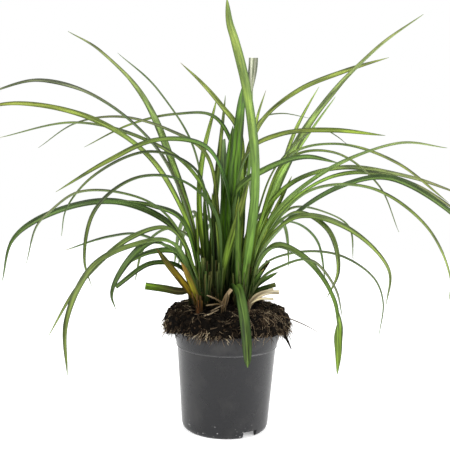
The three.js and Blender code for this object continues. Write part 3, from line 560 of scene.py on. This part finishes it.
def blade_tree():
    """Sweeps one leaf section along every line of the mesh it is given.

    Each point of a line says how far the section spreads, how its halves rise, where its keel lies and
    how round it is, as vectors. So the same tree makes blades, folded sheaths and round stems.
    """
    tree, source = new_tree("sedge blades", {
        "Points round a section": "NodeSocketInt",
        "Keel sharpness": "NodeSocketFloat",
        "Material": "NodeSocketMaterial",
    })
    lines = add(tree, "GeometryNodeMeshToCurve", {"Mesh": source["Geometry"]})
    spine = add(tree, "GeometryNodeStoreNamedAttribute",
                {"Geometry": lines, "Name": "spine", "Value": add(tree, "GeometryNodeInputPosition")},
                data_type="FLOAT_VECTOR", domain="POINT")
    ring = add(tree, "GeometryNodeCurvePrimitiveCircle",
               {"Resolution": source["Points round a section"], "Radius": MM})
    # Across and height of the ring's points, from -1 to 1.
    place = add(tree, VECTOR_MATH, {0: add(tree, "GeometryNodeInputPosition"), "Scale": 1 / MM},
                operation="SCALE")
    parts = add(tree, "ShaderNodeSeparateXYZ", {0: place})
    for label, part in (("across", "X"), ("section_height", "Y")):
        ring = add(tree, "GeometryNodeStoreNamedAttribute",
                   {"Geometry": ring, "Name": label, "Value": parts.outputs[part]},
                   data_type="FLOAT", domain="POINT")
    swept = add(tree, "GeometryNodeCurveToMesh", {"Curve": spine, "Profile Curve": ring, "Fill Caps": True})

    read = {
        label: add(tree, "GeometryNodeInputNamedAttribute", {"Name": label}, data_type=kind)
        for label, kind in (
            ("across", "FLOAT"), ("section_height", "FLOAT"), ("half_mm", "FLOAT"),
            ("spine", "FLOAT_VECTOR"), ("spread", "FLOAT_VECTOR"), ("rise", "FLOAT_VECTOR"),
            ("keel", "FLOAT_VECTOR"), ("core", "FLOAT_VECTOR"),
        )
    }
    off_centre = add(tree, MATH, {0: read["across"]}, operation="ABSOLUTE")
    inward = add(tree, MATH, {0: 1.0, 1: off_centre}, operation="SUBTRACT")
    sharp = add(tree, MATH, {0: inward, 1: source["Keel sharpness"]}, operation="POWER")
    depth = add(tree, MATH, {0: read["section_height"]}, operation="ABSOLUTE")
    thin = add(tree, MATH, {0: depth, 1: 0.4}, operation="MULTIPLY")
    thick = add(tree, MATH, {0: sharp, 1: 0.6, 2: thin}, operation="MULTIPLY_ADD")
    below = add(tree, MATH, {0: read["section_height"], 1: -0.01}, operation="LESS_THAN")
    keel_share = add(tree, MATH, {0: thick, 1: below}, operation="MULTIPLY")
    # The two halves are slightly arched, as the blade of a sedge is.
    arch = add(tree, MATH, {0: off_centre, 1: inward}, operation="MULTIPLY")
    halves = add(tree, MATH, {0: arch, 1: 0.9, 2: off_centre}, operation="MULTIPLY_ADD")
    point = read["spine"]
    for label, share in (("spread", read["across"]), ("rise", halves), ("keel", keel_share),
                         ("core", read["section_height"])):
        step = add(tree, VECTOR_MATH, {0: read[label], "Scale": share}, operation="SCALE")
        point = add(tree, VECTOR_MATH, {0: point, 1: step}, operation="ADD")
    shaped = add(tree, "GeometryNodeSetPosition", {"Geometry": swept, "Position": point})
    width_place = add(tree, MATH, {0: read["across"], 1: read["half_mm"]}, operation="MULTIPLY")
    for label, value in (("across_mm", width_place), ("under", below)):
        shaped = add(tree, "GeometryNodeStoreNamedAttribute",
                     {"Geometry": shaped, "Name": label, "Value": value}, data_type="FLOAT", domain="POINT")
    return finish_tree(tree, source, shaped)


def fibre_tree():
    """Draws a thin round fibre along every line of the mesh it is given, as thick as its points say."""
    tree, source = new_tree("root fibres", {"Sides": "NodeSocketInt", "Material": "NodeSocketMaterial"})
    lines = add(tree, "GeometryNodeMeshToCurve", {"Mesh": source["Geometry"]})
    thick = add(tree, "GeometryNodeInputNamedAttribute", {"Name": "thick"}, data_type="FLOAT")
    ring = add(tree, "GeometryNodeCurvePrimitiveCircle", {"Resolution": source["Sides"], "Radius": 1.0})
    swept = add(tree, "GeometryNodeCurveToMesh",
                {"Curve": lines, "Profile Curve": ring, "Scale": thick, "Fill Caps": True})
    return finish_tree(tree, source, swept)


def crumb_tree():
    """Scatters crumbs over the soil, each a rough lump of its own size and tone, and keeps the soil."""
    tree, source = new_tree("peat crumbs", {
        "Crumbs per square metre": "NodeSocketFloat",
        "Smallest": "NodeSocketFloat",
        "Largest": "NodeSocketFloat",
        "Roughness of a crumb": "NodeSocketFloat",
        "Seed": "NodeSocketInt",
        "Material": "NodeSocketMaterial",
    })
    loose = add(tree, "GeometryNodeInputNamedAttribute", {"Name": "loose"}, data_type="FLOAT")
    density = add(tree, MATH, {0: loose, 1: source["Crumbs per square metre"]}, operation="MULTIPLY")
    points = add(tree, "GeometryNodeDistributePointsOnFaces",
                 {"Mesh": source["Geometry"], "Density": density, "Seed": source["Seed"]},
                 distribute_method="RANDOM")
    chance = add(tree, "FunctionNodeRandomValue", {"Seed": source["Seed"]}, data_type="FLOAT")
    small = add(tree, MATH, {0: chance, 1: 3.0}, operation="POWER")
    size = add(tree, "ShaderNodeMapRange", {0: small, 3: source["Smallest"], 4: source["Largest"]})
    turn = add(tree, "FunctionNodeRandomValue", {"Max": (6.28, 6.28, 6.28), "Seed": 5},
               data_type="FLOAT_VECTOR")
    lump = add(tree, "GeometryNodeMeshIcoSphere", {"Radius": 1.0, "Subdivisions": 1})
    squash = add(tree, "FunctionNodeRandomValue",
                 {"Min": (0.6, 0.6, 0.45), "Max": (1.3, 1.1, 0.9), "Seed": 9}, data_type="FLOAT_VECTOR")
    shape = add(tree, VECTOR_MATH, {0: squash, "Scale": size}, operation="SCALE")
    crumbs = add(tree, "GeometryNodeInstanceOnPoints",
                 {"Points": points, "Instance": lump, "Rotation": turn, "Scale": shape})
    tone = add(tree, "FunctionNodeRandomValue", {"Min": 0.1, "Max": 0.78, "Seed": 11}, data_type="FLOAT")
    toned = add(tree, "GeometryNodeStoreNamedAttribute",
                {"Geometry": crumbs, "Name": "tone", "Value": tone}, data_type="FLOAT", domain="INSTANCE")
    real = add(tree, "GeometryNodeRealizeInstances", {"Geometry": toned})
    bumps = add(tree, "ShaderNodeTexNoise",
                {"Vector": add(tree, "GeometryNodeInputPosition"), "Scale": per_mm(1.6), "Detail": 1.0})
    centred = add(tree, VECTOR_MATH, {0: bumps.outputs["Color"], 1: (0.5, 0.5, 0.5)}, operation="SUBTRACT")
    push = add(tree, VECTOR_MATH, {0: centred, "Scale": source["Roughness of a crumb"]}, operation="SCALE")
    rough = add(tree, "GeometryNodeSetPosition", {"Geometry": real, "Offset": push})
    joined = add(tree, "GeometryNodeJoinGeometry", {"Geometry": source["Geometry"]})
    tree.links.new(rough.outputs[0], joined.inputs[0])
    return finish_tree(tree, source, joined)


def grow(piece, tree, values):
    """Runs a tree on a piece and leaves the result as its plain mesh."""
    modifier = piece.modifiers.new("growth", "NODES")
    modifier.node_group = tree
    for item in tree.interface.items_tree:
        if item.in_out == "INPUT" and item.name in values:
            modifier[item.identifier] = values[item.name]
    graph = bpy.context.evaluated_depsgraph_get()
    mesh = bpy.data.meshes.new_from_object(piece.evaluated_get(graph), preserve_all_data_layers=True,
                                           depsgraph=graph)
    piece.modifiers.clear()
    piece.data = mesh
    outward(mesh)


def outward(mesh):
    """Turns every shell's faces outwards."""
    shells = bmesh.new()
    shells.from_mesh(mesh)
    bmesh.ops.recalc_face_normals(shells, faces=shells.faces)
    shells.to_mesh(mesh)
    shells.free()


def line_mesh(name, lines, fields):
    """A mesh of open lines. Each is a dict with "points" in metres and a row per point of each field."""
    points = np.concatenate([line["points"] for line in lines])
    edges = []
    first = 0
    for line in lines:
        count = len(line["points"])
        edges += [(first + i, first + i + 1) for i in range(count - 1)]
        first += count
    mesh = bpy.data.meshes.new(name)
    mesh.from_pydata(points.tolist(), edges, [])
    slots = {"FLOAT": "value", "FLOAT_VECTOR": "vector", "FLOAT_COLOR": "color"}
    for field, kind in fields.items():
        values = np.concatenate([np.asarray(line[field], np.float32) for line in lines])
        mesh.attributes.new(field, kind, "POINT").data.foreach_set(slots[kind], values.ravel())
    return mesh


def new_mesh(name, shape):
    """The mesh of a bmesh shape, which is freed."""
    mesh = bpy.data.meshes.new(name)
    shape.to_mesh(mesh)
    shape.free()
    return mesh


def new_object(name, data):
    """An object of the scene: a piece, a light or the camera."""
    made = bpy.data.objects.new(name, data)
    bpy.context.scene.collection.objects.link(made)
    return made


# ---- Leaf lines ----
LEAF_FIELDS = {
    "spread": "FLOAT_VECTOR", "rise": "FLOAT_VECTOR", "keel": "FLOAT_VECTOR", "core": "FLOAT_VECTOR",
    "tint": "FLOAT_COLOR", "half_mm": "FLOAT", "along_mm": "FLOAT", "leaf_seed": "FLOAT",
}


def through(marks, pieces=400):
    """A smooth path through the marks: a centripetal Catmull-Rom curve, as many short straight pieces."""
    marks = [np.array(mark, float) for mark in marks]
    last = len(marks) - 1
    path = []
    for k in range(pieces + 1):
        place = last * k / pieces
        i = min(int(place), last - 1)
        share = place - i
        near, far = marks[i], marks[i + 1]
        before = marks[i - 1] if i > 0 else 2 * marks[0] - marks[1]
        after = marks[i + 2] if i + 2 <= last else 2 * marks[last] - marks[last - 1]
        gaps = [max(np.linalg.norm(b - a), 1e-6) ** 0.5
                for a, b in ((before, near), (near, far), (far, after))]
        leave = ((near - before) / gaps[0] - (far - before) / (gaps[0] + gaps[1]) + (far - near) / gaps[1])
        arrive = ((far - near) / gaps[1] - (after - near) / (gaps[1] + gaps[2]) + (after - far) / gaps[2])
        leave, arrive = leave * gaps[1], arrive * gaps[1]
        path.append(near + leave * share + (-3 * near + 3 * far - 2 * leave - arrive) * share ** 2
                    + (2 * near - 2 * far + leave + arrive) * share ** 3)
    return np.array(path)


def evenly(path, step):
    """The same path with points at even steps, and how far along it each one is."""
    far = np.r_[0, np.cumsum(np.linalg.norm(np.diff(path, axis=0), axis=1))]
    places = np.linspace(0, far[-1], max(4, round(far[-1] / step)) + 1)
    return np.stack([np.interp(places, far, path[:, axis]) for axis in range(3)], 1), places


def width_along(share, width, end):
    """It widens out of the sheath, then runs out into a point, or keeps its width to a blunt end."""
    widening = 0.7 + 0.3 * smoothstep(share, 0, 0.3)
    pointed = np.clip(1 - share ** (16 if end == "lance" else 6), 0, 1) ** 0.8
    taper = 1 - 0.15 * share if end == "cut" else pointed
    return np.maximum(width * widening * taper, POINT_WIDTH)


def turn_along(share, turns):
    """The turn of a blade about its midrib, which eases from each of its even steps to the next."""
    place = share * (len(turns) - 1)
    i = np.minimum(place.astype(int), len(turns) - 2)
    eased = smoothstep(place - i, 0, 1)
    turns = np.array(turns, float)
    return np.radians(between(turns[i], turns[i + 1], eased))


def unit(vectors):
    return vectors / np.linalg.norm(vectors, axis=1)[:, None]


def leaf_line(spot, order, row, rng, heights=SHADED_SHEATH_HEIGHTS):
    """One leaf as a line, with the section's vectors and its tint at every point."""
    bearing, marks, width, turns, tone, end = (*row, "")[:6]
    ahead, left = along(bearing), along(bearing + 90)
    root = ROOT_HEIGHT + ROOT_RISE * order
    marks = [(0.4, SHEATH_FOOT), (1, root)] + list(marks)
    places = [
        np.array([spot[0], spot[1], height]) + ahead * reach + left * (aside[0] if aside else 0)
        for reach, height, *aside in marks
    ]
    points, far = evenly(through(places), STATION)
    start = np.linalg.norm(places[1] - places[0])
    share = np.clip((far - start) / (far[-1] - start), 0, 1)
    tangent = unit(np.gradient(points, axis=0))
    up = unit(np.cross(tangent, left))
    side = np.cross(up, tangent)

    phase = rng.uniform(0, 2 * math.pi)
    sway = SWAY[0] * smoothstep(share, 0.1, 0.6) * np.sin(far / SWAY[1] + phase)
    tipping = TIPPING[0] * smoothstep(share, 0.1, 0.5) * np.sin(far / TIPPING[1] + 2 * phase)
    waver = 1 + WIDTH_WAVER[0] * np.sin(far / WIDTH_WAVER[1] + 3 * phase)
    points = points + side * sway[:, None]
    turn = (turn_along(share, turns) + tipping)[:, None]
    across = side * np.cos(turn) + up * np.sin(turn)
    face = up * np.cos(turn) - side * np.sin(turn)
    half = width_along(share, width, end) / 2 * WIDER * waver
    fold = np.radians(FOLD[0] + (FOLD[1] - FOLD[0]) * smoothstep(far, *UNFOLDS))
    keel = KEEL[0] + (KEEL[1] - KEEL[0]) * share
    keel = np.minimum(keel, 0.2 + 0.5 * half)

    blade, tip = (linear(colour) for colour in TONES[tone])
    toward_tip = smoothstep(share, *(DRIES_OVER if tone in DRIED_TIPS else TIP_OVER))[:, None]
    tint = between(blade, tip, toward_tip) * rng.uniform(*LEAF_VARIES)
    # In the heart of the tuft a leaf turns fresher green and is lightened as painted light, most on the lit
    # right.
    if tone not in OWN_TONES:
        greener_and_lit = between(*HEART_TINT_AND_LIGHT, smoothstep(points[:, 0], *LIGHT_SIDE)[:, None])
        heart = 1 - smoothstep(np.hypot(points[:, 0], points[:, 1]), *HEART_RADII)[:, None]
        tint = tint * between(1, greener_and_lit, heart)
    if not end and rng.random() < RUSTY_SHARE:
        rust = smoothstep(share, 1 - RUST_LENGTH / far[-1] - 0.01, 1 - 1 / far[-1])[:, None]
        tint = between(tint, linear(RUSTY_TIP), rust)
    # Painted shade: the leaf's foot darkens to the near-black sheath tint, higher up in the tuft's dense
    # middle.
    if tone not in NO_SHADED_SHEATH:
        foot = 1 - smoothstep(root + far - start, *heights)[:, None]
        tint = between(tint, linear(SHADED_SHEATH), foot)
    tint[:, 3] = 1
    return {
        "points": points * MM,
        "spread": across * (half * np.cos(fold) * MM)[:, None],
        "rise": face * (half * np.sin(fold) * MM)[:, None],
        "keel": face * (-keel * MM)[:, None],
        "core": np.zeros_like(points),
        "tint": tint,
        "half_mm": half,
        "along_mm": far,
        "leaf_seed": np.full(len(points), rng.random()),
    }


def stem_line(spot, top, tones, rng):
    """The round core that the sheaths wrap."""
    heights = np.linspace(SHEATH_FOOT - 4, top, STEM_SECTIONS)
    radius = STEM_RADII[0] + (STEM_RADII[1] - STEM_RADII[0]) * smoothstep(heights, STEM_TAPERS, top)
    points = np.array([[spot[0], spot[1], height] for height in heights])
    share = smoothstep(heights, *SHADED_SHEATH_HEIGHTS)[:, None]
    tint = between(linear(tones[0]), linear(tones[1]), share)
    flat = np.zeros_like(points)
    return {
        "points": points * MM,
        "spread": np.outer(radius * MM, [1, 0, 0]),
        "rise": flat,
        "keel": flat,
        "core": np.outer(radius * MM, [0, 1, 0]),
        "tint": tint,
        "half_mm": radius,
        "along_mm": heights - heights[0],
        "leaf_seed": np.full(len(points), rng.random()),
    }


def dead_sheaths(spot, count, top, rng):
    """Narrow strips of old sheath that stand round the foot of a shoot."""
    lines = []
    for k in range(count):
        bearing = rng.uniform(0, 360)
        height = rng.uniform(ROOT_HEIGHT, top)
        lean = rng.uniform(*STRIP_LEAN)
        foot = np.array(spot) + along(bearing)[:2] * rng.uniform(*STRIP_RING)
        marks = [(lean * 0.3, ROOT_HEIGHT), (lean, height)]
        width = rng.uniform(*STRIP_WIDTH)
        turns = [rng.uniform(-STRIP_TURN, STRIP_TURN)] * 2
        lines.append(leaf_line(foot, 0, (bearing, marks, width, turns, "dead_sheath", "cut"), rng))
    return lines


BLADES = blade_tree()


def shoot_piece(name, spot, leaves, material, slot, stem, sheaths):
    """A shoot in one piece: its leaves, the stem within them, and the dead strips round its foot."""
    rng = random.Random(name)
    heights = SHADED.get(name, SHADED_SHEATH_HEIGHTS)
    lines = [leaf_line(spot, order, row, rng, heights) for order, row in enumerate(leaves)]
    lines.append(stem_line(spot, *stem, rng))
    lines += dead_sheaths(spot, *sheaths, rng)
    piece = new_object(name + "_blades", line_mesh(name, lines, LEAF_FIELDS))
    grow(piece, BLADES, {"Points round a section": BLADE_POINTS, "Keel sharpness": 1.4, "Material": material})
    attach(piece, "root")
    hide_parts(name)


# For each kind of shoot: its material and slot, its stem's top and tones, and its dead strips.
# The green stem is tinted near black below and dark green above, as painted shade within the tuft.
for shoots, *looks in (
        (GREEN_SHOOTS, GREEN_LEAF, "green_leaf", (160, (SHADED_SHEATH, "#22330f")), (20, 172)),
        (GOLDEN_SHOOTS, GOLDEN_LEAF, "golden_leaf", (136, ("#4a3018", "#8a5a1c")), (4, 150)),
        (STRAW_SHOOTS, DRY_LEAF, "dry_leaf", (134, ("#3a2819", "#8f7850")), (3, 142))):
    for shoot in shoots:
        shoot_piece(*shoot, *looks)


# ---- Pot ----
def eased(outline, radius):
    """The outline with each of its corners rounded, by three points."""
    rounded = [outline[0]]
    for before, corner, after in zip(outline, outline[1:], outline[2:]):
        before, corner, after = Vector(before), Vector(corner), Vector(after)
        back = min(radius, 0.45 * (before - corner).length)
        on = min(radius, 0.45 * (after - corner).length)
        start = corner + (before - corner).normalized() * back
        end = corner + (after - corner).normalized() * on
        for share in (0, 0.5, 1):
            first, middle, last = (1 - share) ** 2, 2 * share * (1 - share), share ** 2
            rounded.append(tuple(start * first + corner * middle + end * last))
    return rounded + [outline[-1]]


def lathe(outline, sides):
    """Turns an outline of (radius, height), which starts and ends on the axis, into a closed solid."""
    shape = bmesh.new()
    rings = []
    for radius, height in outline:
        if radius < 1e-6:
            rings.append([shape.verts.new((0, 0, height * MM))])
        else:
            rings.append([
                shape.verts.new((radius * MM * math.cos(a), radius * MM * math.sin(a), height * MM))
                for a in (2 * math.pi * i / sides for i in range(sides))
            ])
    for low, high in zip(rings, rings[1:]):
        for i in range(sides):
            j = (i + 1) % sides
            corners = [low[i % len(low)], low[j % len(low)], high[j % len(high)], high[i % len(high)]]
            shape.faces.new(list(dict.fromkeys(corners)))
    bmesh.ops.recalc_face_normals(shape, faces=shape.faces)
    return shape


def pot_piece():
    inner_step, inner_foot = STEP_RADIUS - WALL, FOOT_RADIUS - WALL
    outline = [
        (0, 0), (CENTRE_FOOT, 0), (CENTRE_FOOT + 1, FLOOR_RECESS), (FOOT_RING[0] - 1, FLOOR_RECESS),
        (FOOT_RING[0], 0), (FOOT_RING[1], 0),
        (FOOT_RADIUS - 0.9, 1.6), (FOOT_RADIUS, 4.5), (STEP_RADIUS, STEP_HEIGHT),
        (STEP_RADIUS + 1, STEP_HEIGHT + 0.3), (STEP_RADIUS + 1.3, STEP_HEIGHT + 0.9),
        (STEP_RADIUS + 0.9, STEP_HEIGHT + 1.7), (RIM_RADIUS, POT_HEIGHT - 1), (RIM_RADIUS - 0.3, POT_HEIGHT),
        (RIM_RADIUS - WALL, POT_HEIGHT), (RIM_RADIUS - WALL - 0.2, POT_HEIGHT - 1),
        (inner_step, STEP_HEIGHT), (inner_foot, FLOOR_TOP + 2), (inner_foot - 2, FLOOR_TOP), (0, FLOOR_TOP),
    ]
    piece = new_object("moulded_pot", new_mesh("pot", lathe(eased(outline, EDGE_ROUNDING), POT_SIDES)))
    cuts = bmesh.new()
    for i in range(DRAIN_HOLES):
        spot = along(360 / DRAIN_HOLES * i) * DRAIN_RING * MM
        bmesh.ops.create_cone(cuts, cap_ends=True, segments=32, radius1=DRAIN_RADIUS * MM,
                              radius2=DRAIN_RADIUS * MM, depth=16 * MM, matrix=Matrix.Translation(spot))
    for bearing in SLOT_BEARINGS:
        turn = Matrix.Rotation(math.radians(bearing), 4, "Z")
        size = Matrix.Diagonal([side * MM for side in SLOT_SIZE] + [1])
        bmesh.ops.create_cube(cuts, size=1, matrix=turn @ Matrix.Translation((FOOT_RADIUS * MM, 0, 0)) @ size)
    cutter = new_object("drain_cuts", new_mesh("drain cuts", cuts))
    cut = piece.modifiers.new("drains", "BOOLEAN")
    cut.operation = "DIFFERENCE"
    cut.solver = "EXACT"
    cut.object = cutter
    graph = bpy.context.evaluated_depsgraph_get()
    piece.data = bpy.data.meshes.new_from_object(piece.evaluated_get(graph), depsgraph=graph)
    piece.modifiers.clear()
    bpy.data.objects.remove(cutter)
    piece.data.polygons.foreach_set("use_smooth", [True] * len(piece.data.polygons))
    piece.data.set_sharp_from_angle(angle=math.radians(32))
    piece.data.materials.clear()
    piece.data.materials.append(POT_PLASTIC)
    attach(piece, "root")
    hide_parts("pot")


pot_piece()


# ---- Soil ----
def lumps(x, y):
    """Swells of the root ball: three crossing waves."""
    first = math.sin(0.31 * x + 1.3) * math.sin(0.27 * y + 0.4)
    return first + 0.6 * math.sin(0.19 * x - 0.43 * y + 2.1) + 0.4 * math.sin(0.55 * x + 0.38 * y)


def soil_outline():
    """Radius and height along the root ball's outline, from its floor over the collar to its crest."""
    foot = FOOT_RADIUS - WALL - 0.3
    neck = RIM_RADIUS - WALL - 0.5
    corners = [
        (0, FLOOR_TOP + 0.3), (foot - 2.2, FLOOR_TOP + 0.3), (foot - 0.1, FLOOR_TOP + 2.2),
        (STEP_RADIUS - WALL - 0.3, STEP_HEIGHT), (neck, POT_HEIGHT - 1), (neck, SOIL_REST),
        (RIM_RADIUS + 1, SOIL_REST), (RIM_RADIUS + 1.4, SOIL_REST - 0.5),
        (COLLAR_RADIUS - 2, SOIL_REST - 0.4),
    ] + SOIL_TOP
    outline = [corners[0]]
    for start, end in zip(corners, corners[1:]):
        step = BURIED_STEP if end[1] < POT_HEIGHT else SOIL_STEP
        steps = max(1, round(math.dist(start, end) / step))
        for i in range(1, steps + 1):
            outline.append(tuple(a + (b - a) * i / steps for a, b in zip(start, end)))
    return outline


def crumble(x, y, z):
    """The lumpy, crumbly place of a point of the smooth root ball, and how loose the soil is there."""
    radius = math.hypot(x, y)
    low = z
    if radius > RIM_RADIUS + 1.2:
        share = min(max((SOIL_REST + COLLAR_HEIGHT - z) / COLLAR_HEIGHT, 0), 1)
        low = z - COLLAR_DROPS[x > 0] * share * (x / radius) ** 8
    if z <= SOIL_REST + 1 and radius < RIM_RADIUS + 1.2:
        return (x, y, z), 0.0
    swell = 1 + SWELL * lumps(x, y) / 70 if z > SOIL_REST + 1 else 1
    low += 0.7 * SWELL * lumps(y, x) if z > SOIL_REST + 1 else 0
    place = Vector((x * swell, y * swell, low))
    out = Vector((x, y, 0)) / max(radius, 1) * (1 if radius > 50 else 0.3) + Vector((0, 0, 0.8))
    clods = noise.fractal(place / CLODS[0], 0.9, 2.1, 4)
    grit = noise.fractal(place / GRIT[0] + Vector((9, 4, 2)), 0.8, 2.0, 3)
    return tuple(place + out * (CLODS[1] * clods + GRIT[1] * grit)), 1.0


def soil_piece():
    shape = lathe(soil_outline(), SOIL_SIDES)
    loose = []
    for vert in shape.verts:
        place, freedom = crumble(*(vert.co / MM))
        vert.co = Vector(place) * MM
        loose.append(freedom)
    mesh = new_mesh("soil", shape)
    tones = [0.18 + 0.25 * noise.noise(vert.co / (9 * MM)) for vert in mesh.vertices]
    for field, values in (("loose", loose), ("tone", tones)):
        mesh.attributes.new(field, "FLOAT", "POINT").data.foreach_set("value", values)
    piece = new_object("peat_root_ball", mesh)
    grow(piece, crumb_tree(), {
        "Crumbs per square metre": 170000.0, "Smallest": 0.45 * MM, "Largest": 2.8 * MM,
        "Roughness of a crumb": 1.6 * MM, "Seed": 3, "Material": PEAT,
    })
    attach(piece, "root")
    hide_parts("soil")


soil_piece()


def ground(x, y):
    """Height of the soil under a point, in millimetres."""
    radius = math.hypot(x, y)
    return float(np.interp(radius, [r for r, z in SOIL_TOP[::-1]], [z for r, z in SOIL_TOP[::-1]]))


def fibre_line(points, thick, tone):
    """A fibre as a line, which thins towards its far end."""
    shares = np.linspace(0, 1, len(points))
    return {
        "points": np.array(points) * MM,
        "thick": thick * (1 - 0.75 * shares ** 2) * MM,
        "tone": np.full(len(points), tone),
    }


def lying_fibre(rng):
    """A root hair that lies on the soil and droops over its edge."""
    bearing = rng.choice([rng.uniform(0, 360), rng.uniform(140, 215), rng.gauss(330, 26),
                          rng.gauss(330, 26)])
    radius = LYING_RADIUS * rng.uniform(0.2, 1) ** 0.35
    x, y = along(bearing)[:2] * radius
    heading = bearing + rng.uniform(-110, 110)
    lift = rng.uniform(0.2, 1.6)
    points = []
    drop = 0.0
    for k in range(rng.randint(5, 10)):
        beyond = max(0.0, math.hypot(x, y) - SOIL_EDGE)
        drop += beyond * rng.uniform(0.1, 0.5)
        points.append((x, y, ground(x, y) + lift - min(drop, HANGING)))
        heading += rng.uniform(-32, 32)
        step = along(heading) * LYING_STEP * (0.45 if beyond > 1 else 1)
        x, y = x + step[0], y + step[1]
        lift += rng.uniform(-0.4, 0.5)
    return fibre_line(points, rng.uniform(0.12, 0.34), rng.uniform(0.1, 0.95))


def fringe_fibre(rng):
    """A root hair that sticks out of the collar, outwards and down."""
    bearing = rng.choice([rng.uniform(0, 360), rng.gauss(250, 14), rng.gauss(250, 14), rng.gauss(197, 15),
                          rng.gauss(345, 14)])
    across = math.cos(math.radians(bearing))
    sag = COLLAR_DROPS[across > 0] * across ** 8
    height = rng.uniform(SOIL_REST - 1, SOIL_REST + 7) - sag * rng.uniform(0.2, 1)
    place = along(bearing) * rng.uniform(57.5, 60) + np.array([0, 0, height])
    heading = bearing + rng.choice([-70, 70]) + rng.uniform(-45, 45)
    fall = rng.uniform(-0.8, 0.2)
    points = []
    for k in range(rng.randint(3, 8)):
        points.append(tuple(place))
        heading += rng.uniform(-50, 50)
        fall += rng.uniform(-0.5, 0.3)
        place = place + (along(heading) + np.array([0, 0, fall])) * FRINGE_STEP
    return fibre_line(points, rng.uniform(0.16, 0.45), rng.random() ** 1.3)


# Bigger things in the soil, as (points, thickness, tone): a dry flower stalk, a dead root, bits of straw.
DEBRIS = [
    ([(50, -22, 119), (57, -24, 118), (66, -25, 115), (76, -26, 111), (90, -28, 104)], 0.7, 0.6),
    ([(52, -26, 106), (56, -30, 101), (59, -34, 96), (62, -36, 90)], 1.7, 0.02),
    ([(-24, -42, 121), (-18, -43, 123), (-12, -42, 126), (-8, -41, 128)], 1.0, 0.84),
    ([(-16, -38, 125), (-9, -37, 129), (-3, -36, 132)], 0.9, 0.78),
]


def fibres_piece():
    rng = random.Random(12)
    lines = [lying_fibre(rng) for k in range(LYING_FIBRES)]
    lines += [fringe_fibre(rng) for k in range(FRINGE_FIBRES)]
    for marks, thick, tone in DEBRIS:
        points, far = evenly(through(marks, 60), 3)
        lines.append(fibre_line(points, thick, tone))
    piece = new_object("root_fibres", line_mesh("root fibres", lines, {"thick": "FLOAT", "tone": "FLOAT"}))
    grow(piece, fibre_tree(), {"Sides": 5, "Material": ROOT_FIBRE})
    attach(piece, "root")


fibres_piece()

# ---- Stage, light and camera ----
FLOOR_RADIUS = 1.25
FLOOR_SIDES = 96
floor_mesh = bpy.data.meshes.new("floor")
rim = [tuple(along(360 * i / FLOOR_SIDES) * FLOOR_RADIUS) for i in range(FLOOR_SIDES)]
floor_mesh.from_pydata(rim, [], [tuple(range(FLOOR_SIDES))])
floor_mesh.materials.append(WHITE_CARD)
new_object("white_floor", floor_mesh)


PLANT_MIDDLE = Vector((0, 0, 0.2))


def softbox(name, place, size, power):
    """A square soft light at a place, turned to the middle of the plant."""
    lamp = bpy.data.lights.new(name, "AREA")
    lamp.size = size
    lamp.energy = power
    light = new_object(name, lamp)
    light.location = place
    light.rotation_euler = (PLANT_MIDDLE - Vector(place)).to_track_quat("-Z", "Y").to_euler()


softbox("key_softbox", (-1.15, -0.95, 1.8), 1.0, 40)
softbox("fill_softbox", (1.35, -0.75, 0.9), 1.4, 34)


def surround():
    """A white backdrop seen from every side, which lights the plant more from behind than from before."""
    world = bpy.data.worlds.new("white surround")
    world.use_nodes = True
    tree = world.node_tree
    tree.nodes.clear()
    heading = add(tree, "ShaderNodeSeparateXYZ", {0: add(tree, "ShaderNodeTexCoord").outputs["Generated"]})
    glow = add(tree, "ShaderNodeMapRange", {0: heading.outputs["Y"], 1: -0.5, 2: 0.7, 3: 0.42, 4: 0.95},
               interpolation_type="SMOOTHSTEP")
    lit = add(tree, "ShaderNodeBackground", {"Color": (1, 1, 1, 1), "Strength": glow})
    seen = add(tree, "ShaderNodeBackground", {"Color": (1, 1, 1, 1), "Strength": 1.0})
    direct = add(tree, "ShaderNodeLightPath").outputs["Is Camera Ray"]
    both = add(tree, "ShaderNodeMixShader", {0: direct, 1: lit, 2: seen})
    add(tree, "ShaderNodeOutputWorld", {"Surface": both})
    bpy.context.scene.world = world


surround()
bpy.context.scene.view_settings.view_transform = "Standard"

# The camera is 0.85 m away and looks down by 7.4 degrees.
CAMERA_PLACE = (0.0, -0.850, 0.314)
PITCH, YAW, ROLL = math.radians(7.42), math.radians(-0.30), math.radians(1.4)
camera_data = bpy.data.cameras.new("camera")
camera_data.sensor_width = 36
camera_data.lens = 69.92
camera = new_object("camera", camera_data)
look = Vector((math.sin(YAW) * math.cos(PITCH), math.cos(YAW) * math.cos(PITCH), -math.sin(PITCH)))
right = Vector((math.cos(YAW), -math.sin(YAW), 0))
upward = right.cross(look)
columns = [right * math.cos(ROLL) + upward * math.sin(ROLL), upward * math.cos(ROLL) - right * math.sin(ROLL),
           -look]
camera.matrix_world = Matrix.Translation(CAMERA_PLACE) @ Matrix(columns).transposed().to_4x4()
bpy.context.scene.camera = camera
